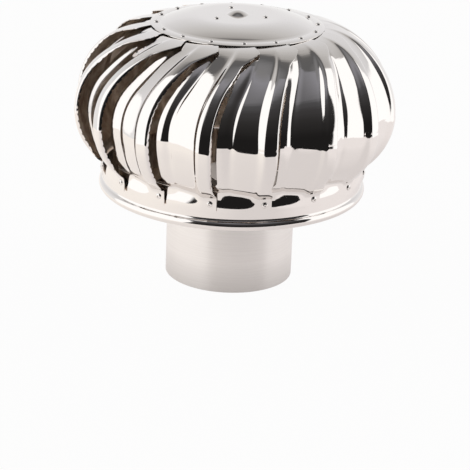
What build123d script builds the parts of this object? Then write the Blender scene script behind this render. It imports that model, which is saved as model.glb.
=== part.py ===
# Turbine roof vent: a wind-driven rotor of sixteen overlapping blades that turns on a fixed duct neck.
# Millimetres, +Z up. The origin is the centre of the neck's lower end, on the turning axis.
# The front of the vent faces -Y, and angles of the rotor are counted anticlockwise from the front.
import os
from math import acos, cos, degrees, radians, sin

from build123d import *

# Neck, a plain welded tube that a flexible duct slides over
neck_outer_diameter = 100.0
neck_wall = 0.8
neck_lip = 2.0

# Turbine head
head_diameter = 250.0
upper_arc_radius = 63.0
lower_arc_radius = 51.0
lower_arc_angle = 53.0
waist_bend_radius = 5.0
blade_count = 16
blade_sheet = 0.5
sheet_gap = 0.2
overlap_gap = 0.25

# Blade outline: half widths in degrees about the turning axis, and how far the blade leans
top_tab_length = 6.5
top_tab_half_angle = 14.5
bottom_tab_length = 7.5
bottom_tab_half_angle = 13.9
ear_angle = 21.0
ear_place = 80.0
ear_spread = 16.0
upper_scoop_angle = 60.0
lower_scoop_angle = 38.0
waist_scoop = 0.5
lean_power = 1.35
upper_spans = 6
lower_spans = 4
waist_spans = 2
blade_top_azimuth = -6.25
blade_bottom_azimuth = -19.75

# Blade section at the equator: three flats with two pressed steps between them.
# Angles are from the middle of the blade, and depths are below the head's outline.
free_edge_angle = 12.5
outer_step_head_angle = 8.4
outer_step_head_depth = 0.9
outer_step_foot_angle = 6.7
outer_step_foot_depth = 5.3
inner_step_head_angle = -1.3
inner_step_head_depth = 7.6
inner_step_foot_angle = -2.6
inner_step_foot_depth = 10.9
tucked_edge_angle = -8.0
tucked_edge_depth = 6.7

# Top plate, a spun disc with a flat flange, a step and a shallow dome
plate_overhang = 4.7
plate_sheet = 0.8
plate_flange_width = 9.0
plate_step_height = 2.0
plate_step_width = 2.0
plate_dome_height = 5.2
plate_dome_crown = 0.75
plate_centre_diameter = 58.0
boss_diameter = 13.0
boss_top_diameter = 7.8
boss_height = 2.8

# Base ring, a spun pan that carries the lower ends of the blades
ring_sheet = 0.8
ring_bottom_height = 70.5
ring_bead_radius = 3.8
ring_bead_overhang = 3.0
ring_band = 7.2
ring_skirt_rise = 3.2
ring_running_gap = 4.0

# Bearing set: two sealed ball bearings on a fixed spindle
spindle_diameter = 8.0
spindle_tail = 12.0
bearing_outer_diameter = 22.0
bearing_width = 7.0
bearing_race_diameter = 15.0
bearing_running_gap = 0.04
seat_clearance = 0.01
bearing_headroom = 21.6
bearing_spacing = 30.0
nut_across_flats = 13.0
nut_height = 6.5
washer_diameter = 16.0
washer_thickness = 1.6
spacer_diameter = 11.0

# Spider, the three-armed bracket welded inside the neck
spider_arms = 3
spider_sheet = 2.0
spider_arm_width = 14.0
spider_hub_diameter = 32.0
spider_drop = 12.5
spider_lug_length = 16.0

# Hub, the bearing housing fixed under the top plate
hub_wall = 2.0
hub_flange_sheet = 2.0
hub_shoulder = 1.5
hub_mouth = 4.0
circlip_wire = 1.2

neck_radius = neck_outer_diameter / 2
head_radius = head_diameter / 2
blade_pitch = 360.0 / blade_count
upper_centre = head_radius - upper_arc_radius
lower_centre = head_radius - lower_arc_radius
waist_reach = lower_arc_radius + waist_bend_radius
waist_radius = lower_centre + waist_reach * cos(radians(lower_arc_angle)) - waist_bend_radius

# Heights follow from the ring's underside upwards
neck_height = ring_bottom_height + neck_lip
tab_foot = ring_bottom_height + 2 * ring_bead_radius + ring_band
waist_height = tab_foot + bottom_tab_length
equator_height = waist_height + waist_reach * sin(radians(lower_arc_angle))
blade_top = equator_height + upper_arc_radius
plate_flange_bottom = blade_top + blade_sheet + 2 * sheet_gap
flange_top = plate_flange_bottom + plate_sheet
centre_top = flange_top + plate_step_height + plate_dome_height
hub_top = centre_top - plate_sheet
upper_bearing_top = hub_top - bearing_headroom
upper_bearing_height = upper_bearing_top - bearing_width
lower_bearing_height = upper_bearing_height - bearing_spacing
spider_height = neck_height - spider_drop


def smooth_step(value):
    """Ease from 0 to 1 with level ends."""
    value = min(max(value, 0.0), 1.0)
    return value * value * (3 - 2 * value)


def mix(start, end, share):
    return start + (end - start) * share


os.makedirs("parts", exist_ok=True)


def save(part, name):
    part.label = name
    export_step(part, f"parts/{name}.step")


# Neck tube
with BuildPart() as neck_tube:
    with BuildSketch():
        Circle(neck_radius)
        Circle(neck_radius - neck_wall, mode=Mode.SUBTRACT)
    extrude(amount=neck_height)
save(neck_tube.part, "neck_tube")

# Spider: a flat star with its arm ends folded down against the neck's wall
spider_reach = neck_radius - neck_wall - seat_clearance
with BuildPart() as bearing_spider:
    with BuildSketch(Plane.XY.offset(spider_height)):
        Circle(spider_hub_diameter / 2)
        with PolarLocations(0, spider_arms):
            Rectangle(spider_reach, spider_arm_width, align=(Align.MIN, Align.CENTER))
        Circle(spindle_diameter / 2 + sheet_gap, mode=Mode.SUBTRACT)
    extrude(amount=spider_sheet)
    with BuildSketch(Plane.XY.offset(spider_height - spider_lug_length)):
        with PolarLocations(spider_reach, spider_arms):
            Rectangle(2 * spider_sheet, spider_arm_width)
        Circle(spider_reach - spider_sheet, mode=Mode.SUBTRACT)
    extrude(amount=spider_lug_length + spider_sheet)
    with BuildSketch(Plane.XY.offset(spider_height - spider_lug_length)):
        Circle(spider_reach)
    extrude(amount=spider_lug_length + spider_sheet, mode=Mode.INTERSECT)
save(bearing_spider.part, "bearing_spider")


def turned(profile_points):
    """A round piece turned about the axis, from its radius and height corners."""
    with BuildPart() as piece:
        with BuildSketch(Plane.XZ):
            with BuildLine():
                Polyline(*profile_points, close=True)
            make_face()
        revolve(axis=Axis.Z)
    return piece.part


def sleeve(inner, outer, bottom, height):
    """A plain round sleeve, washer or ring on the axis."""
    top = bottom + height
    return turned([(inner, bottom), (outer, bottom), (outer, top), (inner, top)])


def hex_nut(bottom, height):
    """A hexagon nut on the spindle."""
    with BuildPart() as nut:
        with BuildSketch(Plane.XY.offset(bottom)):
            RegularPolygon(nut_across_flats / 2, 6, major_radius=False)
            Circle(spindle_diameter / 2 + seat_clearance, mode=Mode.SUBTRACT)
        extrude(amount=height)
    return nut.part


# Spindle, held in the spider between two nuts and washers
on_spindle = spindle_diameter / 2 + seat_clearance
spider_top = spider_height + spider_sheet
upper_washer_top = spider_top + washer_thickness
upper_nut_top = upper_washer_top + nut_height
lower_washer_bottom = spider_height - washer_thickness
lock_washer_top = upper_bearing_top + washer_thickness
lock_nut_top = lock_washer_top + nut_height
spindle_top = lock_nut_top + 2 * washer_thickness
spindle_bottom = spider_height - spindle_tail
with BuildPart() as spindle:
    with BuildSketch(Plane.XY.offset(spindle_bottom)):
        Circle(spindle_diameter / 2)
    extrude(amount=spindle_top - spindle_bottom)
save(spindle.part, "spindle")
save(sleeve(on_spindle, washer_diameter / 2, lower_washer_bottom, washer_thickness), "lower_washer")
save(hex_nut(lower_washer_bottom - nut_height, nut_height), "lower_nut")
save(sleeve(on_spindle, washer_diameter / 2, spider_top, washer_thickness), "upper_washer")
save(hex_nut(upper_washer_top, nut_height), "upper_nut")
lower_spacer_height = lower_bearing_height - upper_nut_top
save(sleeve(on_spindle, spacer_diameter / 2, upper_nut_top, lower_spacer_height), "lower_spacer")
bearing_gap = bearing_spacing - bearing_width
middle_spacer_bottom = lower_bearing_height + bearing_width
save(sleeve(on_spindle, spacer_diameter / 2, middle_spacer_bottom, bearing_gap), "middle_spacer")
save(sleeve(on_spindle, spacer_diameter / 2, upper_bearing_top, washer_thickness), "lock_washer")
save(hex_nut(lock_washer_top, nut_height), "lock_nut")

# Bearings: an inner ring on the spindle and an outer ring in the hub, sealed between
race_radius = bearing_race_diameter / 2
for name, height in (("lower", lower_bearing_height), ("upper", upper_bearing_height)):
    inner_race = race_radius - bearing_running_gap / 2
    outer_race = race_radius + bearing_running_gap / 2
    save(sleeve(on_spindle, inner_race, height, bearing_width), f"{name}_bearing_inner_ring")
    outer_ring = sleeve(outer_race, bearing_outer_diameter / 2, height, bearing_width)
    save(outer_ring, f"{name}_bearing_outer_ring")

# Blades: one sheet lofted down the head's outline, then copied round the axis
tab_stack = blade_sheet + overlap_gap
tab_flat_angle = bottom_tab_half_angle + inner_step_foot_angle
tab_dip = waist_radius * (1 - cos(radians(tab_flat_angle / 2)))
skirt_radius = waist_radius - tab_dip - tab_stack - 2 * sheet_gap
straight_up = 90.0


def blade_station(radius, height, normal, scoop, stack):
    """One cross-section of the blade: where it is, which way it faces and its bent outline.

    normal is the outline's outward angle above level, scoop goes from 0 at the flat tabs to 1 at the
    equator, and stack is the rise from one blade's edge to the next where the tabs overlap. Below the
    equator no part of the blade goes in past the waist, and the slot closes towards it.
    """
    lean = smooth_step(max(normal / straight_up, 0.0) ** lean_power)
    azimuth = radians(mix(blade_bottom_azimuth, blade_top_azimuth, lean))
    ear = (ear_angle - top_tab_half_angle) * max(0.0, 1 - abs(normal - ear_place) / ear_spread)
    level = cos(radians(normal))
    if normal > 0:
        tab_half = top_tab_half_angle
        slot_share = scoop
        deepest = inner_step_foot_depth
    else:
        tab_half = bottom_tab_half_angle
        slot_share = smooth_step(2 * (radius - waist_radius) / (head_radius - waist_radius))
        deepest = (radius - waist_radius) / level
    corners = [
        (mix(-tab_half, tucked_edge_angle, slot_share), tucked_edge_depth),
        (inner_step_foot_angle, inner_step_foot_depth),
        (inner_step_head_angle, inner_step_head_depth),
        (outer_step_foot_angle, outer_step_foot_depth),
        (outer_step_head_angle, outer_step_head_depth),
        (mix(tab_half, free_edge_angle, slot_share) + ear, 0.0),
    ]
    outside = []
    for angle, sink in corners:
        round_drop = radius * (1 - cos(radians(angle))) * level
        rise = stack * angle / blade_pitch
        outside.append((radius * sin(radians(angle)), rise - min(scoop * sink, deepest) - round_drop))
    inside = [(x, y - blade_sheet) for x, y in reversed(outside)]
    around = Vector(cos(azimuth), sin(azimuth), 0)
    outward = Vector(level * sin(azimuth), -level * cos(azimuth), sin(radians(normal)))
    origin = (radius * sin(azimuth), -radius * cos(azimuth), height)
    plane = Plane(origin=origin, x_dir=around, z_dir=around.cross(outward))
    return plane, outside + inside


stations = [blade_station(upper_centre - top_tab_length, blade_top, straight_up, 0.0, tab_stack)]
for step in range(upper_spans + 1):
    angle = straight_up * (1 - step / upper_spans)
    station_radius = upper_centre + upper_arc_radius * cos(radians(angle))
    station_height = equator_height + upper_arc_radius * sin(radians(angle))
    open_share = smooth_step((straight_up - angle) / upper_scoop_angle)
    stations.append(blade_station(station_radius, station_height, angle, open_share, tab_stack))
for step in range(1, lower_spans + 1):
    angle = -lower_arc_angle * step / lower_spans
    station_radius = lower_centre + lower_arc_radius * cos(radians(angle))
    station_height = equator_height + lower_arc_radius * sin(radians(angle))
    open_share = mix(waist_scoop, 1.0, smooth_step((lower_arc_angle + angle) / lower_scoop_angle))
    stations.append(blade_station(station_radius, station_height, angle, open_share, tab_stack + tab_dip))
for step in range(1, waist_spans + 1):
    angle = -lower_arc_angle * (1 - step / waist_spans)
    station_radius = waist_radius + waist_bend_radius * (1 - cos(radians(angle)))
    station_height = waist_height - waist_bend_radius * sin(radians(angle))
    stations.append(blade_station(station_radius, station_height, angle, waist_scoop, tab_stack + tab_dip))
stations.append(blade_station(waist_radius, tab_foot, 0.0, 0.0, tab_stack + tab_dip))

with BuildPart() as blade:
    for plane, outline in stations:
        with BuildSketch(plane):
            with BuildLine():
                Polyline(*outline, close=True)
            make_face()
    loft(ruled=True)
for index in range(blade_count):
    save(Rot(0, 0, index * blade_pitch) * blade.part, f"blade_{index + 1:02d}")

# Top plate: flange, step, shallow dome and a small raised boss in one spun sheet
plate_radius = upper_centre + plate_overhang
flange_inner = plate_radius - plate_flange_width
dome_foot = flange_inner - plate_step_width
centre_radius = plate_centre_diameter / 2
boss_radius = boss_diameter / 2
dome_middle = (centre_radius + dome_foot) / 2
dome_middle_top = flange_top + plate_step_height + plate_dome_height * plate_dome_crown
upper_side = [
    (plate_radius, flange_top),
    (flange_inner, flange_top),
    (dome_foot, flange_top + plate_step_height),
    (dome_middle, dome_middle_top),
    (centre_radius, centre_top),
    (boss_radius, centre_top),
    (boss_top_diameter / 2, centre_top + boss_height),
    (0.0, centre_top + boss_height),
]
lower_side = [(radius, height - plate_sheet) for radius, height in reversed(upper_side)]
save(turned(upper_side + lower_side), "top_plate")

# Base ring: skirt, rolled bead and a floor with a running gap round the neck
skirt_inner = skirt_radius - ring_sheet
bead_centre = skirt_radius + ring_bead_overhang - ring_bead_radius
bead_height = ring_bottom_height + ring_bead_radius
bead_start = acos((skirt_radius - bead_centre) / ring_bead_radius)
ring_hole = neck_radius + ring_running_gap
ring_skirt_top = waist_height + ring_skirt_rise
floor_top = ring_bottom_height + ring_sheet
with BuildPart() as base_ring:
    with BuildSketch(Plane.XZ):
        with BuildLine():
            bead = CenterArc((bead_centre, bead_height), ring_bead_radius, -90, 90 + degrees(bead_start))
            Polyline(
                bead @ 1,
                (skirt_radius, ring_skirt_top),
                (skirt_inner, ring_skirt_top),
                (skirt_inner, bead_height),
                (bead_centre, floor_top),
                (ring_hole, floor_top),
                (ring_hole, ring_bottom_height),
                bead @ 0,
            )
        make_face()
    revolve(axis=Axis.Z)
save(base_ring.part, "base_ring")

# Hub: a flanged housing under the plate's centre, with a seat for each bearing
hub_seat = bearing_outer_diameter / 2 + seat_clearance
hub_outer = hub_seat + hub_wall
hub_step = hub_seat - hub_shoulder
hub_bottom = lower_bearing_height - hub_mouth
save(
    turned(
        [
            (hub_seat, hub_bottom),
            (hub_outer, hub_bottom),
            (hub_outer, hub_top - hub_flange_sheet),
            (centre_radius, hub_top - hub_flange_sheet),
            (centre_radius, hub_top),
            (hub_seat, hub_top),
            (hub_seat, upper_bearing_height),
            (hub_step, upper_bearing_height),
            (hub_step, middle_spacer_bottom),
            (hub_seat, middle_spacer_bottom),
        ]
    ),
    "bearing_hub",
)
circlip_inner = hub_seat - 2 * circlip_wire
circlip_outer = hub_seat - seat_clearance
circlip_bottom = lower_bearing_height - circlip_wire
save(sleeve(circlip_inner, circlip_outer, circlip_bottom, circlip_wire), "circlip")
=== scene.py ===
from math import acos, cos, pi, radians, sin

import bpy
from mathutils import Matrix, Vector


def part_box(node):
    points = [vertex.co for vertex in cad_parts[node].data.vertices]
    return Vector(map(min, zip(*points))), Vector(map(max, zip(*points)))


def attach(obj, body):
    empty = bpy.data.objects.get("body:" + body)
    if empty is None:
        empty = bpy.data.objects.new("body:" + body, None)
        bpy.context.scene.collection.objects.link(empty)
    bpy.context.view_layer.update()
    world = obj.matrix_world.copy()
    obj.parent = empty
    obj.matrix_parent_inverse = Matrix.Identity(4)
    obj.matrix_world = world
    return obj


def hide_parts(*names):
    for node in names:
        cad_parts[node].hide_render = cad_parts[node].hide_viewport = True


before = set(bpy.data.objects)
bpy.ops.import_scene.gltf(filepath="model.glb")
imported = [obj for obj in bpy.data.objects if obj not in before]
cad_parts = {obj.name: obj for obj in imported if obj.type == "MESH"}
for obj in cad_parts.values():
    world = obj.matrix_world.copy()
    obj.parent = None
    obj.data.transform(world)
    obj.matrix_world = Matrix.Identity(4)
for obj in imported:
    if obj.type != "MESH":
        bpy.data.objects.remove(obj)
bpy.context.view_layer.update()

# Neck: a plain welded tube of thin stainless sheet that the duct slides over.
# It is satin brushed round its girth, and its two ends are deburred.
mm = 0.001
neck_low, neck_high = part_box("neck_tube")
neck_radius = neck_high.x
neck_wall = 0.8 * mm
neck_deburr = 0.25 * mm
turn_segments = 192
sharp_corner = radians(35.0)


def add_piece(name, vertices, faces, material=None):
    """Make an object at the origin from vertices in place, with smooth faces."""
    mesh = bpy.data.meshes.new(name)
    mesh.from_pydata(vertices, [], faces)
    mesh.validate()
    mesh.shade_smooth()
    if material:
        mesh.materials.append(material)
    piece = bpy.data.objects.new(name, mesh)
    bpy.context.scene.collection.objects.link(piece)
    return piece


def turn_profile(name, profile, material, segments=turn_segments):
    """Turn a profile of (radius, height) points, given anticlockwise, about the upright axis."""
    vertices = []
    rings = []
    for radius, height in profile:
        if radius < 1e-6:
            rings.append([len(vertices)] * segments)
            vertices.append((0.0, 0.0, height))
            continue
        rings.append(range(len(vertices), len(vertices) + segments))
        for step in range(segments):
            angle = 2 * pi * step / segments
            vertices.append((radius * cos(angle), radius * sin(angle), height))
    faces = []
    for lower, upper in zip(rings, rings[1:] + rings[:1]):
        for step in range(segments):
            after = (step + 1) % segments
            corner = [lower[step], lower[after], upper[after], upper[step]]
            face = list(dict.fromkeys(corner))
            if len(face) > 2:
                faces.append(face)
    piece = add_piece(name, vertices, faces, material)
    piece.data.set_sharp_from_angle(angle=sharp_corner)
    return piece


def linear(code):
    """An sRGB hex colour as linear RGBA."""
    channels = [int(code[place : place + 2], 16) / 255 for place in (1, 3, 5)]
    return [c / 12.92 if c <= 0.04045 else ((c + 0.055) / 1.055) ** 2.4 for c in channels] + [1.0]


def add_node(tree, kind, settings=(), inputs=()):
    """Add one node, set its properties, and fill or link its inputs."""
    made = tree.nodes.new(kind)
    for name, value in dict(settings).items():
        setattr(made, name, value)
    for key, value in dict(inputs).items():
        if isinstance(value, bpy.types.NodeSocket):
            tree.links.new(value, made.inputs[key])
        else:
            made.inputs[key].default_value = value
    return made


def start_material(name):
    """A new material, its node tree and its main shader."""
    material = bpy.data.materials.new(name)
    material.use_nodes = True
    return material, material.node_tree, material.node_tree.nodes["Principled BSDF"]


# Satin brushed stainless: belt-ground round the tube, so that light spreads up and down the wall.
# The real scratches are about 0.1 mm wide, drawn at 0.5 mm so that they show.
# The foot of the tube is darker: painted shade, standing in for the shadowed floor that it reflects.
brushed_stainless, tree, shader = start_material("brushed_stainless")
scratch_width = 0.5 * mm
scratch_length = 40 * mm
# Painted shade at the foot of the tube: how high it reaches and its darkest tone.
painted_shade_height = 24 * mm
painted_shade_tone = 0.74
place = add_node(tree, "ShaderNodeTexCoord")
scratch_scale = (1 / scratch_length, 1 / scratch_length, 1 / scratch_width)
stretch = add_node(
    tree, "ShaderNodeMapping", inputs={"Vector": place.outputs["Object"], "Scale": scratch_scale}
)
scratches = add_node(
    tree,
    "ShaderNodeTexNoise",
    inputs={"Vector": stretch.outputs["Vector"], "Scale": 1.0, "Detail": 4.0, "Roughness": 0.65},
)
tone = add_node(tree, "ShaderNodeValToRGB", inputs={"Fac": scratches.outputs["Fac"]})
tone.color_ramp.elements[0].position = 0.3
tone.color_ramp.elements[0].color = linear("#F0ECE9")
tone.color_ramp.elements[1].position = 0.7
tone.color_ramp.elements[1].color = linear("#F8F5F2")
grit = add_node(
    tree,
    "ShaderNodeMapRange",
    inputs={"Value": scratches.outputs["Fac"], "From Min": 0.3, "From Max": 0.7,
            "To Min": 0.30, "To Max": 0.36},
)
relief = add_node(
    tree,
    "ShaderNodeBump",
    inputs={"Height": scratches.outputs["Fac"], "Strength": 0.05, "Distance": 0.05 * mm},
)
height = add_node(tree, "ShaderNodeSeparateXYZ", inputs={"Vector": place.outputs["Object"]})
# Painted shade: the tube's colour darkens towards its foot, where it reflects the floor in the head's shadow.
painted_foot_shade = add_node(
    tree,
    "ShaderNodeMapRange",
    inputs={"Value": height.outputs["Z"], "From Min": 0.0, "From Max": painted_shade_height,
            "To Min": painted_shade_tone, "To Max": 1.0},
)
# The scratches' tone, darkened by the painted shade towards the foot.
tone_with_painted_shade = add_node(
    tree,
    "ShaderNodeMix",
    {"data_type": "RGBA", "blend_type": "MULTIPLY"},
    {"Factor": 1.0, 6: tone.outputs["Color"], 7: painted_foot_shade.outputs["Result"]},
)
tree.links.new(tone_with_painted_shade.outputs[2], shader.inputs["Base Color"])
tree.links.new(grit.outputs["Result"], shader.inputs["Roughness"])
tree.links.new(relief.outputs["Normal"], shader.inputs["Normal"])
girth = add_node(tree, "ShaderNodeTangent", {"direction_type": "RADIAL", "axis": "Z"})
tree.links.new(girth.outputs["Tangent"], shader.inputs["Tangent"])
shader.inputs["Anisotropic"].default_value = 0.75
shader.inputs["Anisotropic Rotation"].default_value = 0.25
shader.inputs["Metallic"].default_value = 1.0

neck_inner = neck_radius - neck_wall
neck_profile = [
    (neck_inner, neck_low.z + neck_deburr),
    (neck_inner + neck_deburr, neck_low.z),
    (neck_radius - neck_deburr, neck_low.z),
    (neck_radius, neck_low.z + neck_deburr),
    (neck_radius, neck_high.z - neck_deburr),
    (neck_radius - neck_deburr, neck_high.z),
    (neck_inner + neck_deburr, neck_high.z),
    (neck_inner, neck_high.z - neck_deburr),
]
neck = turn_profile("neck", neck_profile, brushed_stainless)
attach(neck, "base")
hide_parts("neck_tube")

# Spider, spindle, nuts, washers and spacers: steel pieces with a thin bright zinc coat.
# The spider is welded inside the neck, and the spindle is clamped through its middle.
zinc_plated_steel, tree, shader = start_material("zinc_plated_steel")
spangle_size = 3 * mm
place = add_node(tree, "ShaderNodeTexCoord")
spangle = add_node(
    tree,
    "ShaderNodeTexNoise",
    inputs={"Vector": place.outputs["Object"], "Scale": 1 / spangle_size, "Detail": 3.0},
)
tone = add_node(tree, "ShaderNodeValToRGB", inputs={"Fac": spangle.outputs["Fac"]})
tone.color_ramp.elements[0].position = 0.35
tone.color_ramp.elements[0].color = linear("#A9ABAC")
tone.color_ramp.elements[1].position = 0.65
tone.color_ramp.elements[1].color = linear("#C4C6C4")
tree.links.new(tone.outputs["Color"], shader.inputs["Base Color"])
shader.inputs["Metallic"].default_value = 1.0
shader.inputs["Roughness"].default_value = 0.32
zinc_nodes = [
    "bearing_spider", "spindle", "lower_washer", "lower_nut", "upper_washer", "upper_nut",
    "lower_spacer", "middle_spacer", "lock_washer", "lock_nut",
]
for name in zinc_nodes:
    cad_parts[name].data.materials.clear()
    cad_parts[name].data.materials.append(zinc_plated_steel)

# Bearings and their clip: hardened steel rings, ground to a fine dull shine.
# The inner rings sit on the spindle and the outer rings in the hub.
bearing_steel, tree, shader = start_material("ground_bearing_steel")
grind_width = 0.3 * mm
grind_length = 20 * mm
place = add_node(tree, "ShaderNodeTexCoord")
grind_scale = (1 / grind_length, 1 / grind_length, 1 / grind_width)
stretch = add_node(
    tree, "ShaderNodeMapping", inputs={"Vector": place.outputs["Object"], "Scale": grind_scale}
)
grind = add_node(
    tree, "ShaderNodeTexNoise", inputs={"Vector": stretch.outputs["Vector"], "Scale": 1.0, "Detail": 2.0}
)
tone = add_node(tree, "ShaderNodeValToRGB", inputs={"Fac": grind.outputs["Fac"]})
tone.color_ramp.elements[0].color = linear("#8E8F91")
tone.color_ramp.elements[1].color = linear("#B4B5B7")
tree.links.new(tone.outputs["Color"], shader.inputs["Base Color"])
shader.inputs["Metallic"].default_value = 1.0
shader.inputs["Roughness"].default_value = 0.22
for name in ("lower_bearing_inner_ring", "upper_bearing_inner_ring", "lower_bearing_outer_ring",
             "upper_bearing_outer_ring", "circlip"):
    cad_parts[name].data.materials.clear()
    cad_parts[name].data.materials.append(bearing_steel)

# Bearing hub: turned from aluminium bar, with fine tool lines round it.
# Three rivets hold its flange under the middle of the top plate.
turned_aluminium, tree, shader = start_material("turned_aluminium")
tool_pitch = 0.4 * mm
tool_line_length = 100 / 3 * mm
place = add_node(tree, "ShaderNodeTexCoord")
tool_scale = (1 / tool_line_length, 1 / tool_line_length, 1 / tool_pitch)
stretch = add_node(tree, "ShaderNodeMapping", inputs={"Vector": place.outputs["Object"], "Scale": tool_scale})
lines = add_node(
    tree, "ShaderNodeTexNoise", inputs={"Vector": stretch.outputs["Vector"], "Scale": 1.0, "Detail": 2.0}
)
tone = add_node(tree, "ShaderNodeValToRGB", inputs={"Fac": lines.outputs["Fac"]})
tone.color_ramp.elements[0].color = linear("#B9BBBD")
tone.color_ramp.elements[1].color = linear("#D6D8DA")
tree.links.new(tone.outputs["Color"], shader.inputs["Base Color"])
shader.inputs["Metallic"].default_value = 1.0
shader.inputs["Roughness"].default_value = 0.3
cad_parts["bearing_hub"].data.materials.clear()
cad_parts["bearing_hub"].data.materials.append(turned_aluminium)

# Base ring: a spun pan of polished stainless with a rolled bead and a floor round the neck.
# The blades' feet are riveted to the outside of its skirt.
ring_low, ring_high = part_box("base_ring")
ring_bottom = ring_low.z
bead_radius = 3.8 * mm
bead_overhang = 3.0 * mm
bead_fillet = 2.2 * mm
ring_sheet = 0.8 * mm
neck_gap = 4.0 * mm
ring_hole = neck_radius + neck_gap
skirt_overlap = 1.5 * mm
skirt_radius = ring_high.x - bead_overhang
ring_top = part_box("blade_01")[0].z + skirt_overlap
bead_centre = Vector((skirt_radius + bead_overhang - bead_radius, ring_bottom + bead_radius))
fillet_reach = skirt_radius + bead_fillet - bead_centre.x
bead_start = acos(fillet_reach / (bead_radius + bead_fillet))
fillet_centre = bead_centre + (bead_radius + bead_fillet) * Vector((cos(bead_start), sin(bead_start)))
bead_steps = 28

# Mirror polished stainless: buffed sheet, so it shows the studio with slightly wavy edges.
# The sheet's waves are about 45 mm long, and are drawn up to 0.35 mm high so that they show.
polished_stainless, tree, shader = start_material("mirror_polished_stainless")
wave_length = 45 * mm
wave_height = 0.35 * mm
haze_size = 12 * mm
place = add_node(tree, "ShaderNodeTexCoord")
waves = add_node(
    tree,
    "ShaderNodeTexNoise",
    inputs={"Vector": place.outputs["Object"], "Scale": 1 / wave_length, "Detail": 1.0},
)
relief = add_node(
    tree, "ShaderNodeBump", inputs={"Height": waves.outputs["Fac"], "Strength": 1.0, "Distance": wave_height}
)
haze = add_node(
    tree,
    "ShaderNodeTexNoise",
    inputs={"Vector": place.outputs["Object"], "Scale": 1 / haze_size, "Detail": 5.0},
)
buff = add_node(
    tree,
    "ShaderNodeMapRange",
    inputs={"Value": haze.outputs["Fac"], "From Min": 0.3, "From Max": 0.7, "To Min": 0.03, "To Max": 0.07},
)
tree.links.new(buff.outputs["Result"], shader.inputs["Roughness"])
tree.links.new(relief.outputs["Normal"], shader.inputs["Normal"])
shader.inputs["Base Color"].default_value = linear("#EAE6E3")
shader.inputs["Metallic"].default_value = 1.0

ring_profile = [(ring_hole, ring_bottom + ring_sheet), (ring_hole, ring_bottom)]
for step in range(bead_steps + 1):
    angle = -pi / 2 + (pi / 2 + bead_start) * step / bead_steps
    ring_profile.append(
        (bead_centre.x + bead_radius * cos(angle), bead_centre.y + bead_radius * sin(angle))
    )
for step in range(1, bead_steps + 1):
    angle = bead_start * (1 - step / bead_steps)
    ring_profile.append(
        (fillet_centre.x - bead_fillet * cos(angle), fillet_centre.y - bead_fillet * sin(angle))
    )
ring_profile += [
    (skirt_radius, ring_top),
    (skirt_radius - ring_sheet, ring_top),
    (skirt_radius - ring_sheet, bead_centre.y),
    (bead_centre.x, ring_bottom + ring_sheet),
]
ring = turn_profile("ring", ring_profile, polished_stainless)
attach(ring, "rotor")
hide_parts("base_ring")

# Blades: sixteen pressed sheets that lean as they rise and overlap like scales.
# Each has two pressed steps, a folded lip with cut notches on its free edge, and a riveted tab at each end.
blade_count = 16
blade_pitch = 360.0 / blade_count
blade_sheet = 0.5 * mm
overlap_gap = 0.25 * mm
head_radius = 125.0 * mm
upper_arc = 63.0 * mm
lower_arc = 51.0 * mm
lower_arc_angle = 53.0
waist_bend = 5.0 * mm
top_tab_length = 6.5 * mm
bottom_tab_length = 7.5 * mm
top_tab_half, bottom_tab_half = 14.5, 13.9
ear_angle, ear_place, ear_spread = 21.0, 80.0, 16.0
upper_scoop_angle, lower_scoop_angle = 53.0, 38.0
waist_scoop = 0.5
waist_dent = 2.3 * mm
dent_end = 13.0
dent_start = 3.0 * mm
dent_length = 13.5 * mm
dent_power = 1.7
dent_ease = 1.0 * mm
top_azimuth, bottom_azimuth, lean_power = -6.25, -19.75, 1.35
# Corners across a blade: degrees from its middle line, and millimetres sunk below the head's outline.
section_corners = [
    (-7.8, 7.65), (-5.8, 7.95), (-3.4, 9.48), (-1.9, 8.25), (0.7, 7.34), (3.4, 6.13), (5.9, 4.6), (7.8, 0.6),
    (12.1, 0.2),
]
section_inset = 0.3 * mm
corner_cut = 2.0 * mm
cut_limit = 0.45
corner_steps = 4
row_spacing = 2.4 * mm
foot_row_spacing = row_spacing / 4
lip_width = 2.2 * mm
lip_fold = radians(68.0)
lip_power = 3
notch_pitch = 6.0 * mm
notch_width = 1.8 * mm
notch_left = 0.62
uncut_share = 0.12

tab_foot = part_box("blade_01")[0].z
waist_height = tab_foot + bottom_tab_length
waist_reach = lower_arc + waist_bend
upper_centre = head_radius - upper_arc
lower_centre = head_radius - lower_arc
waist_radius = lower_centre + waist_reach * cos(radians(lower_arc_angle)) - waist_bend
equator_height = waist_height + waist_reach * sin(radians(lower_arc_angle))
blade_top = equator_height + upper_arc
tab_stack = blade_sheet + overlap_gap
tab_dip = waist_radius * (1 - cos(radians((bottom_tab_half + section_corners[2][0]) / 2)))


def smooth_step(value):
    """Ease from 0 to 1 with level ends."""
    value = min(max(value, 0.0), 1.0)
    return value * value * (3 - 2 * value)


def mix(start, end, share):
    """The value at a share of the way from start to end."""
    return start + (end - start) * share


upper_length = upper_arc * pi / 2
lower_length = lower_arc * radians(lower_arc_angle)
waist_length = waist_bend * radians(lower_arc_angle)
arc_marks = [top_tab_length]
for length in (upper_length, lower_length, waist_length, bottom_tab_length):
    arc_marks.append(arc_marks[-1] + length)


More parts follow.
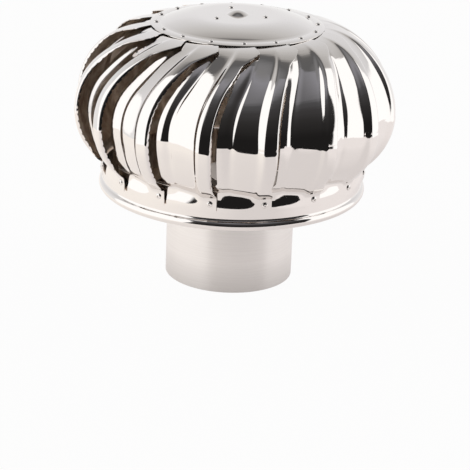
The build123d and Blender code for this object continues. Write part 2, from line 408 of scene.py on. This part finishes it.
def outline_at(way):
    """Radius, height, facing angle, scoop share and overlap rise at a way down the head's outline."""
    if way <= arc_marks[0]:
        return upper_centre - top_tab_length + way, blade_top, 90.0, 0.0, tab_stack
    if way <= arc_marks[1]:
        facing = 90.0 * (1 - (way - arc_marks[0]) / upper_length)
        radius = upper_centre + upper_arc * cos(radians(facing))
        height = equator_height + upper_arc * sin(radians(facing))
        return radius, height, facing, smooth_step((90.0 - facing) / upper_scoop_angle), tab_stack
    if way <= arc_marks[2]:
        facing = -lower_arc_angle * (way - arc_marks[1]) / lower_length
        radius = lower_centre + lower_arc * cos(radians(facing))
        height = equator_height + lower_arc * sin(radians(facing))
        scoop = mix(waist_scoop, 1.0, smooth_step((lower_arc_angle + facing) / lower_scoop_angle))
        return radius, height, facing, scoop, tab_stack + tab_dip
    if way <= arc_marks[3]:
        facing = -lower_arc_angle * (1 - (way - arc_marks[2]) / waist_length)
        radius = waist_radius + waist_bend * (1 - cos(radians(facing)))
        height = waist_height - waist_bend * sin(radians(facing))
        return radius, height, facing, waist_scoop, tab_stack + tab_dip
    return waist_radius, waist_height - (way - arc_marks[3]), 0.0, waist_scoop, tab_stack + tab_dip


def shallower(depth, limit):
    """The smaller of two depths, eased where they meet."""
    ease = max(dent_ease - abs(depth - limit), 0.0)
    return min(depth, limit) - ease * ease / (4 * dent_ease)


def rounded(points):
    """Round the inner corners of a line of (across, out) points."""
    line = [points[0]]
    for before, corner, after in zip(points, points[1:], points[2:]):
        ends = []
        for other in (before, after):
            reach = (other - corner).length
            ends.append(corner + (other - corner) * min(corner_cut / reach, cut_limit))
        for step in range(corner_steps + 1):
            share = step / corner_steps
            line.append(ends[0].lerp(corner, share).lerp(corner.lerp(ends[1], share), share))
    line.append(points[-1])
    return line


def blade_row(way, notched):
    """The blade's outer and inner points across its width, at one way down its length."""
    radius, height, facing, scoop, stack = outline_at(way)
    level = cos(radians(facing))
    azimuth = radians(mix(bottom_azimuth, top_azimuth, smooth_step(max(facing / 90.0, 0.0) ** lean_power)))
    tab_half = top_tab_half if facing > 0 else bottom_tab_half
    ear = (ear_angle - top_tab_half) * max(0.0, 1 - abs(facing - ear_place) / ear_spread)
    room = radius - waist_radius
    open_share = scoop if facing > 0 else smooth_step(2 * room / (head_radius - waist_radius))
    dent_share = 1 - (way - arc_marks[2] + dent_start) / dent_length
    dent = waist_dent * min(max(dent_share, 0.0), 1.0) ** dent_power
    corners = []
    for index, (angle, sink) in enumerate(section_corners):
        if index == 0:
            angle = mix(-tab_half, angle, open_share)
        if index == len(section_corners) - 1:
            angle = mix(tab_half, angle, open_share) + ear
        drop = radius * (1 - cos(radians(angle))) * level
        rise = stack * angle / blade_pitch
        sink = scoop * sink * mm + section_inset * open_share
        if facing <= 0:
            share = smooth_step(1 - angle / dent_end)
            sink = shallower(sink, (room + dent * share) / level)
        corners.append(Vector((radius * sin(radians(angle)), rise - sink - drop)))
    along = (corners[-1] - corners[-2]).normalized()
    fold = lip_fold * open_share
    lip = lip_width * open_share**lip_power + blade_sheet
    corners.append(corners[-1] + lip * (along * cos(fold) + Vector((along.y, -along.x)) * sin(fold)))
    outer = rounded(corners)
    if notched:
        outer[-1] = outer[-2].lerp(outer[-1], notch_left)
    inner = []
    for index, point in enumerate(outer):
        side = outer[min(index + 1, len(outer) - 1)] - outer[max(index - 1, 0)]
        side = side.normalized()
        inner.append(point + Vector((side.y, -side.x)) * blade_sheet)
    around = Vector((cos(azimuth), sin(azimuth), 0.0))
    outward = Vector((level * sin(azimuth), -level * cos(azimuth), sin(radians(facing))))
    centre = Vector((radius * sin(azimuth), -radius * cos(azimuth), height))
    return [centre + around * point.x + outward * point.y for point in outer + inner[::-1]]


notch_start = arc_marks[0] + uncut_share * upper_length
notch_end = arc_marks[2] - uncut_share * lower_length
fine_edge = 0.1 * mm
rows = [(0.0, False)]
way = 0.0
while way < arc_marks[4] - row_spacing / 2:
    spacing = row_spacing if way < arc_marks[2] - row_spacing else foot_row_spacing
    way = min(way + spacing, arc_marks[4])
    rows.append((way, False))
rows[-1] = (arc_marks[4], False)
notch = notch_start
while notch < notch_end:
    clear_start = notch - 2 * fine_edge
    clear_end = notch + notch_width + 2 * fine_edge
    rows = [row for row in rows if not clear_start < row[0] < clear_end]
    rows += [(notch - fine_edge, False), (notch, True), (notch + notch_width, True)]
    rows.append((notch + notch_width + fine_edge, False))
    notch += notch_pitch
rows.sort()

vertices = []
for way, notched in rows:
    vertices += blade_row(way, notched)
across = len(vertices) // len(rows)
faces = []
for row in range(len(rows) - 1):
    for column in range(across):
        after = (column + 1) % across
        faces.append([row * across + column, (row + 1) * across + column,
                      (row + 1) * across + after, row * across + after])
faces.append(list(range(across)))
faces.append(list(range(len(vertices) - across, len(vertices)))[::-1])
blade = add_piece("one_blade", vertices, faces)
bpy.context.scene.collection.objects.unlink(blade)

# Mill-finish stainless: the unpolished back of the sheet, dull and brownish in the dark of the head.
mill_stainless, tree, shader = start_material("mill_finish_stainless")
roll_mark = 9 * mm
place = add_node(tree, "ShaderNodeTexCoord")
marks = add_node(
    tree,
    "ShaderNodeTexNoise",
    inputs={"Vector": place.outputs["Object"], "Scale": 1 / roll_mark, "Detail": 4.0},
)
tone = add_node(tree, "ShaderNodeValToRGB", inputs={"Fac": marks.outputs["Fac"]})
tone.color_ramp.elements[0].position = 0.35
tone.color_ramp.elements[0].color = linear("#D2BFAD")
tone.color_ramp.elements[1].position = 0.7
tone.color_ramp.elements[1].color = linear("#FFF4E8")
tree.links.new(tone.outputs["Color"], shader.inputs["Base Color"])
shader.inputs["Metallic"].default_value = 1.0
shader.inputs["Roughness"].default_value = 0.42

inside_columns = range(across // 2, across - 1)
is_inside = [False] * len(blade.data.polygons)
for face in blade.data.polygons[: (len(rows) - 1) * across]:
    is_inside[face.index] = face.index % across in inside_columns
blade.data.attributes.new("back_of_sheet", "BOOLEAN", "FACE").data.foreach_set("value", is_inside)
edge_columns = {0, across // 2 - 1, across // 2, across - 1}
for edge in blade.data.edges:
    first, second = edge.vertices
    same_column = first % across == second % across
    at_end = first // across == second // across and first // across in (0, len(rows) - 1)
    if (same_column and first % across in edge_columns) or at_end:
        edge.use_edge_sharp = True

tree = bpy.data.node_groups.new("blades_round_axis", "GeometryNodeTree")
tree.interface.new_socket("Geometry", in_out="INPUT", socket_type="NodeSocketGeometry")
blade_inputs = {}
for name, kind in (("Blade", "Object"), ("Count", "Int"), ("First", "Float"), ("Pitch", "Float")):
    blade_inputs[name] = tree.interface.new_socket(name, in_out="INPUT", socket_type="NodeSocket" + kind)
tree.interface.new_socket("Geometry", in_out="OUTPUT", socket_type="NodeSocketGeometry")
start = add_node(tree, "NodeGroupInput")
pattern = add_node(
    tree, "GeometryNodeObjectInfo", inputs={"Object": start.outputs["Blade"], "As Instance": True}
)
points = add_node(tree, "GeometryNodePoints", inputs={"Count": start.outputs["Count"]})
index = add_node(tree, "GeometryNodeInputIndex")
turn = add_node(
    tree,
    "ShaderNodeMath",
    {"operation": "MULTIPLY_ADD"},
    {0: index.outputs["Index"], 1: start.outputs["Pitch"], 2: start.outputs["First"]},
)
about_axis = add_node(tree, "ShaderNodeCombineXYZ", inputs={"Z": turn.outputs["Value"]})
copies = add_node(
    tree,
    "GeometryNodeInstanceOnPoints",
    inputs={"Points": points.outputs["Points"], "Instance": pattern.outputs["Geometry"]},
)
tree.links.new(about_axis.outputs["Vector"], copies.inputs["Rotation"])
solid = add_node(tree, "GeometryNodeRealizeInstances", inputs={"Geometry": copies.outputs["Instances"]})
front = add_node(
    tree,
    "GeometryNodeSetMaterial",
    inputs={"Geometry": solid.outputs["Geometry"], "Material": polished_stainless},
)
back_face = add_node(
    tree, "GeometryNodeInputNamedAttribute", {"data_type": "BOOLEAN"}, {"Name": "back_of_sheet"}
)
back = add_node(
    tree,
    "GeometryNodeSetMaterial",
    inputs={"Geometry": front.outputs["Geometry"], "Selection": back_face.outputs["Attribute"],
            "Material": mill_stainless},
)
add_node(tree, "NodeGroupOutput", inputs={"Geometry": back.outputs["Geometry"]})


def grow(name, tree, values):
    """Run a node tree with the given inputs and keep its result as a plain mesh object."""
    holder = add_piece(name + "_holder", [], [])
    modifier = holder.modifiers.new("grow", "NODES")
    modifier.node_group = tree
    for socket, value in values.items():
        modifier[socket.identifier] = value
    evaluated = holder.evaluated_get(bpy.context.evaluated_depsgraph_get())
    mesh = bpy.data.meshes.new_from_object(evaluated)
    holder.modifiers.remove(modifier)
    bpy.data.objects.remove(holder)
    mesh.name = name
    piece = bpy.data.objects.new(name, mesh)
    bpy.context.scene.collection.objects.link(piece)
    return piece


blades_in_group = 4
for group_start in range(0, blade_count, blades_in_group):
    numbers = range(group_start + 1, group_start + blades_in_group + 1)
    values = (blade, blades_in_group, radians(group_start * blade_pitch), radians(blade_pitch))
    group_name = f"blades_{numbers[0]:02d}_to_{numbers[-1]:02d}"
    blades = grow(group_name, tree, dict(zip(blade_inputs.values(), values)))
    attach(blades, "rotor")
    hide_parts(*[f"blade_{number:02d}" for number in numbers])
bpy.data.objects.remove(blade)

# Top plate: a spun disc of the same polished sheet, with a flat flange, a step and a shallow dome.
# It sits on the blades' top tabs, and a small boss is raised at its middle.
plate_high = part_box("top_plate")[1]
plate_radius = plate_high.x
plate_sheet = 0.5 * mm
flange_width = 8.0 * mm
step_width = 2.5 * mm
step_height = 1.2 * mm
dome_height = 5.6 * mm
centre_radius = 29.0 * mm
boss_radius = 8.5 * mm
boss_height = 3.2 * mm
flange_top = plate_high.z - boss_height - dome_height - step_height
dome_foot = plate_radius - flange_width - step_width
dome_top = flange_top + step_height + dome_height
dome_steps = 24
boss_steps = 10
boss_power = 2.0
rim_sink = 0.8 * mm
crease = 0.3 * mm
rim_width = 2.5 * mm
plate_top = [
    (plate_radius, flange_top - rim_sink),
    (plate_radius - rim_width, flange_top),
    (plate_radius - flange_width + crease, flange_top),
    (plate_radius - flange_width, flange_top),
    (dome_foot, flange_top + step_height),
]
for step in range(1, dome_steps + 1):
    share = step / dome_steps
    plate_top.append((mix(dome_foot, centre_radius, share),
                      flange_top + step_height + dome_height * (1 - (1 - share) ** 2)))
for step in range(boss_steps + 1):
    share = step / boss_steps
    plate_top.append((boss_radius * (1 - share), plate_high.z - boss_height * (1 - share) ** boss_power))
plate_bottom = [(radius, height - plate_sheet) for radius, height in reversed(plate_top)]
plate = turn_profile("plate", plate_top + plate_bottom, polished_stainless)
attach(plate, "rotor")
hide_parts("top_plate")

# Rivets: polished stainless blind rivets with low domed heads and a dimple where the mandrel broke off.
# Sixteen hold the blades' tops to the plate, sixteen hold their feet to the ring, and three hold the hub.
rivet_radius = 2.3 * mm
rivet_height = 0.9 * mm
dimple_radius = 0.8 * mm
dimple_depth = 0.6 * mm
rivet_segments = 20
rivet_profile = [
    (rivet_radius, 0.0),
    (rivet_radius, 0.2 * rivet_height),
    (0.92 * rivet_radius, 0.5 * rivet_height),
    (0.72 * rivet_radius, 0.84 * rivet_height),
    (0.45 * rivet_radius, rivet_height),
    (dimple_radius, rivet_height),
    (0.8 * dimple_radius, rivet_height - dimple_depth),
    (0.0, rivet_height - dimple_depth),
    (0.0, 0.0),
]
rivet = turn_profile("one_rivet", rivet_profile, polished_stainless, segments=rivet_segments)
bpy.context.scene.collection.objects.unlink(rivet)

tree = bpy.data.node_groups.new("rivets_round_axis", "GeometryNodeTree")
tree.interface.new_socket("Geometry", in_out="INPUT", socket_type="NodeSocketGeometry")
rivet_inputs = {}
for name, kind in (("Rivet", "Object"), ("Count", "Int"), ("Radius", "Float"), ("Height", "Float"),
                   ("First", "Float"), ("Tilt", "Float")):
    rivet_inputs[name] = tree.interface.new_socket(name, in_out="INPUT", socket_type="NodeSocket" + kind)
tree.interface.new_socket("Geometry", in_out="OUTPUT", socket_type="NodeSocketGeometry")
start = add_node(tree, "NodeGroupInput")
pattern = add_node(
    tree, "GeometryNodeObjectInfo", inputs={"Object": start.outputs["Rivet"], "As Instance": True}
)
points = add_node(tree, "GeometryNodePoints", inputs={"Count": start.outputs["Count"]})
index = add_node(tree, "GeometryNodeInputIndex")
full_turn = add_node(
    tree, "ShaderNodeMath", {"operation": "DIVIDE"}, {0: 2 * pi, 1: start.outputs["Count"]}
)
turn = add_node(
    tree,
    "ShaderNodeMath",
    {"operation": "MULTIPLY_ADD"},
    {0: index.outputs["Index"], 1: full_turn.outputs["Value"], 2: start.outputs["First"]},
)
along_x = add_node(tree, "ShaderNodeMath", {"operation": "SINE"}, {0: turn.outputs["Value"]})
along_y = add_node(tree, "ShaderNodeMath", {"operation": "COSINE"}, {0: turn.outputs["Value"]})
place_x = add_node(
    tree,
    "ShaderNodeMath",
    {"operation": "MULTIPLY"},
    {0: along_x.outputs["Value"], 1: start.outputs["Radius"]},
)
place_y = add_node(
    tree,
    "ShaderNodeMath",
    {"operation": "MULTIPLY"},
    {0: along_y.outputs["Value"], 1: start.outputs["Radius"]},
)
place_back = add_node(
    tree, "ShaderNodeMath", {"operation": "MULTIPLY"}, {0: place_y.outputs["Value"], 1: -1.0}
)
seat = add_node(
    tree,
    "ShaderNodeCombineXYZ",
    inputs={"X": place_x.outputs["Value"], "Y": place_back.outputs["Value"], "Z": start.outputs["Height"]},
)
placed = add_node(
    tree,
    "GeometryNodeSetPosition",
    inputs={"Geometry": points.outputs["Points"], "Position": seat.outputs["Vector"]},
)
facing_out = add_node(
    tree, "ShaderNodeCombineXYZ", inputs={"X": start.outputs["Tilt"], "Z": turn.outputs["Value"]}
)
heads = add_node(
    tree,
    "GeometryNodeInstanceOnPoints",
    inputs={"Points": placed.outputs["Geometry"], "Instance": pattern.outputs["Geometry"],
            "Rotation": facing_out.outputs["Vector"]},
)
solid = add_node(tree, "GeometryNodeRealizeInstances", inputs={"Geometry": heads.outputs["Instances"]})
finish = add_node(
    tree,
    "GeometryNodeSetMaterial",
    inputs={"Geometry": solid.outputs["Geometry"], "Material": polished_stainless},
)
add_node(tree, "NodeGroupOutput", inputs={"Geometry": finish.outputs["Geometry"]})
plate_rivet_radius = 62.0 * mm
ring_rivet_radius = waist_radius + 0.9 * tab_stack
ring_rivet_height = 91.0 * mm
hub_rivet_radius = 22.0 * mm
hub_rivet_count = 3
# Each ring of rivets: its name, count, radius, height, first angle from the front and tilt, in degrees.
rivet_rings = [
    ("plate_rivets", blade_count, plate_rivet_radius, flange_top, 5.0, 0.0),
    ("ring_rivets", blade_count, ring_rivet_radius, ring_rivet_height, -8.5, 90.0),
    ("hub_rivets", hub_rivet_count, hub_rivet_radius, dome_top, -46.0, 0.0),
]
for name, count, radius, height, first, tilt in rivet_rings:
    values = (rivet, count, radius, height, radians(first), radians(tilt))
    rivets = grow(name, tree, dict(zip(rivet_inputs.values(), values)))
    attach(rivets, "rotor")
bpy.data.objects.remove(rivet)

# Stage: a pale floor sheet that ends a little in front of the vent, and a white room.
# The front of the room, round the camera, is dark, with a large soft light on each side.
floor_front, floor_back = -460 * mm, 1300 * mm
floor_left, floor_right = -450 * mm, 550 * mm
# Painted light: where the floor, as seen in reflections, brightens towards the two soft lights, and by how
# much.
bright_left_end, middle_start = -300 * mm, 50 * mm
middle_end, bright_right_end = 180 * mm, 300 * mm
left_painted_glow, middle_painted_glow, right_painted_gain = 1.3, 1.06, 0.24
mirrored_cover, seen_cover = 0.75, 0.96
floor_paper, tree, shader = start_material("floor_paper")
shader.inputs["Base Color"].default_value = linear("#F4F0EE")
shader.inputs["Roughness"].default_value = 0.9
light_path = add_node(tree, "ShaderNodeLightPath")
paper = shader.outputs["BSDF"]
floor_place = add_node(tree, "ShaderNodeTexCoord")
floor_across = add_node(tree, "ShaderNodeSeparateXYZ", inputs={"Vector": floor_place.outputs["Object"]})
# Painted light: the floor seen in reflections is whiter and brighter towards the left, a pool of painted
# light from the left soft light.
floor_share = add_node(
    tree,
    "ShaderNodeMapRange",
    inputs={"Value": floor_across.outputs["X"], "From Min": bright_left_end, "From Max": middle_start},
)
floor_painted_tone = add_node(tree, "ShaderNodeValToRGB", inputs={"Fac": floor_share.outputs["Result"]})
floor_painted_tone.color_ramp.elements[0].color = linear("#FFFAF4")
floor_painted_tone.color_ramp.elements[1].color = linear("#F2EDEC")
floor_painted_glow = add_node(
    tree,
    "ShaderNodeMapRange",
    inputs={"Value": floor_share.outputs["Result"], "To Min": left_painted_glow, "To Max": middle_painted_glow},
)
# Painted light: a second pool of painted light on the floor towards the right soft light.
floor_right_painted_glow = add_node(
    tree,
    "ShaderNodeMapRange",
    inputs={"Value": floor_across.outputs["X"], "From Min": middle_end, "From Max": bright_right_end,
            "To Min": 0.0, "To Max": right_painted_gain},
)
floor_painted_strength = add_node(
    tree,
    "ShaderNodeMath",
    {"operation": "ADD"},
    {0: floor_painted_glow.outputs["Result"], 1: floor_right_painted_glow.outputs["Result"]},
)
floor_sights = [
    ("Is Glossy Ray", mirrored_cover, floor_painted_tone.outputs["Color"], floor_painted_strength.outputs["Value"]),
    ("Is Camera Ray", seen_cover, linear("#FFFFFF"), 1.0),
]
for ray, cover, colour, strength in floor_sights:
    share = add_node(
        tree, "ShaderNodeMath", {"operation": "MULTIPLY"}, {0: light_path.outputs[ray], 1: cover}
    )
    bright = add_node(tree, "ShaderNodeEmission", inputs={"Color": colour, "Strength": strength})
    seen = add_node(
        tree,
        "ShaderNodeMixShader",
        inputs={0: share.outputs["Value"], 1: paper, 2: bright.outputs["Emission"]},
    )
    paper = seen.outputs["Shader"]
tree.links.new(paper, tree.nodes["Material Output"].inputs["Surface"])
floor = add_piece(
    "floor",
    [(floor_left, floor_front, 0), (floor_right, floor_front, 0), (floor_right, floor_back, 0),
     (floor_left, floor_back, 0)],
    [(0, 1, 2, 3)],
    floor_paper,
)

room = bpy.data.worlds.new("studio_room")
room.use_nodes = True
tree = room.node_tree
tree.nodes.clear()
way_out = add_node(tree, "ShaderNodeTexCoord")
parts = add_node(tree, "ShaderNodeSeparateXYZ", inputs={"Vector": way_out.outputs["Generated"]})
# The walls' tones from level (0) to overhead (1), and the slopes of the two lights' edges.
front_tones = [
    (0.0, "#1C1B1B"), (0.44, "#2C2B2B"), (0.69, "#3A393A"), (0.81, "#4A4A4C"), (0.90, "#717175"),
    (0.966, "#84848A"), (1.0, "#777778"),
]
back_tones = [
    (0.0, "#E2E2E2"), (0.31, "#D8D8DA"), (0.5, "#CBCBCC"), (0.67, "#BDBCBB"), (0.82, "#A3A19F"),
    (0.88, "#5E5D5D"), (0.94, "#5A5A5B"), (1.0, "#777779"),
]
left_light_lean, left_light_cut, right_light_lean = -0.22, 0.8, -0.4
room_strength = 1.25
walls = []
for tones in (front_tones, back_tones):
    wall = add_node(tree, "ShaderNodeValToRGB", inputs={"Fac": parts.outputs["Z"]})
    ramp = wall.color_ramp
    for level, code in tones[1:-1]:
        ramp.elements.new(level)
    for element, (level, code) in zip(ramp.elements, tones):
        element.position = level
        element.color = linear(code)
    walls.append(wall)
behind = add_node(
    tree,
    "ShaderNodeMapRange",
    {"interpolation_type": "SMOOTHSTEP"},
    {"Value": parts.outputs["Y"], "From Min": -0.03, "From Max": 0.03},
)
room_walls = add_node(
    tree,
    "ShaderNodeMix",
    {"data_type": "RGBA"},
    {"Factor": behind.outputs["Result"], 6: walls[0].outputs["Color"], 7: walls[1].outputs["Color"]},
)
level_way = add_node(
    tree,
    "ShaderNodeVectorMath",
    {"operation": "MULTIPLY"},
    {0: way_out.outputs["Generated"], 1: (1.0, 1.0, 0.0)},
)
level_unit = add_node(
    tree, "ShaderNodeVectorMath", {"operation": "NORMALIZE"}, {0: level_way.outputs["Vector"]}
)
level_parts = add_node(tree, "ShaderNodeSeparateXYZ", inputs={"Vector": level_unit.outputs["Vector"]})
leaning = add_node(
    tree,
    "ShaderNodeMath",
    {"operation": "MULTIPLY_ADD"},
    {0: parts.outputs["Z"], 1: left_light_lean, 2: parts.outputs["X"]},
)
rearward = add_node(tree, "ShaderNodeMath", {"operation": "MAXIMUM"}, {0: parts.outputs["Y"], 1: 0.0})
leftward = add_node(
    tree,
    "ShaderNodeMath",
    {"operation": "MULTIPLY_ADD"},
    {0: rearward.outputs["Value"], 1: left_light_cut, 2: leaning.outputs["Value"]},
)
raised = add_node(tree, "ShaderNodeMath", {"operation": "MAXIMUM"}, {0: parts.outputs["Z"], 1: 0.0})
forward = add_node(
    tree,
    "ShaderNodeMath",
    {"operation": "MULTIPLY_ADD"},
    {0: raised.outputs["Value"], 1: right_light_lean, 2: parts.outputs["Y"]},
)
# Each edge of a light: the measure it follows, where it is dark and where it is fully lit.
light_edges = [
    (leftward.outputs["Value"], -0.57, -0.62),
    (forward.outputs["Value"], -0.43, -0.38),
    (level_parts.outputs["X"], 0.78, 0.82),
    (parts.outputs["Z"], 0.86, 0.82),
]
light_shares = []
for value, dark_end, light_end in light_edges:
    edge = add_node(
        tree,
        "ShaderNodeMapRange",
        {"interpolation_type": "SMOOTHSTEP"},
        {"Value": value, "From Min": dark_end, "From Max": light_end},
    )
    light_shares.append(edge.outputs["Result"])
right_light = light_shares[1]
for share in light_shares[2:]:
    within = add_node(tree, "ShaderNodeMath", {"operation": "MULTIPLY"}, {0: right_light, 1: share})
    right_light = within.outputs["Value"]
seen_room = room_walls.outputs[2]
for share in (light_shares[0], right_light):
    lit_room = add_node(
        tree, "ShaderNodeMix", {"data_type": "RGBA"}, {"Factor": share, 6: seen_room, 7: linear("#FFFFFF")}
    )
    seen_room = lit_room.outputs[2]
reflected = add_node(tree, "ShaderNodeBackground", inputs={"Color": seen_room, "Strength": room_strength})
plain = add_node(tree, "ShaderNodeBackground", inputs={"Color": linear("#FFFFFF"), "Strength": 1.0})
light_path = add_node(tree, "ShaderNodeLightPath")
sight = add_node(
    tree,
    "ShaderNodeMixShader",
    inputs={0: light_path.outputs["Is Camera Ray"], 1: reflected.outputs["Background"],
            2: plain.outputs["Background"]},
)
add_node(tree, "ShaderNodeOutputWorld", inputs={"Surface": sight.outputs["Shader"]})
bpy.context.scene.world = room

# Camera: a long lens a little above the vent, as the photograph was taken.
view_distance = 1371.2 * mm
view_height_angle = radians(18.13)
view_roll = radians(2.2)
view_target = Vector((0.0, 0.0, 100.0 * mm))
camera_data = bpy.data.cameras.new("camera")
camera_data.sensor_width = 36.0
camera_data.lens = 134.3
camera_data.shift_x = 0.0049
camera_data.shift_y = -0.1813
camera = bpy.data.objects.new("camera", camera_data)
away = Vector((0.0, -cos(view_height_angle), sin(view_height_angle)))
camera.location = view_target + away * view_distance
turn_to_target = away.to_track_quat("Z", "Y")
camera.rotation_euler = (turn_to_target.to_matrix() @ Matrix.Rotation(view_roll, 3, "Z")).to_euler()
bpy.context.scene.collection.objects.link(camera)
bpy.context.scene.camera = camera
bpy.context.scene.view_settings.view_transform = "Standard"
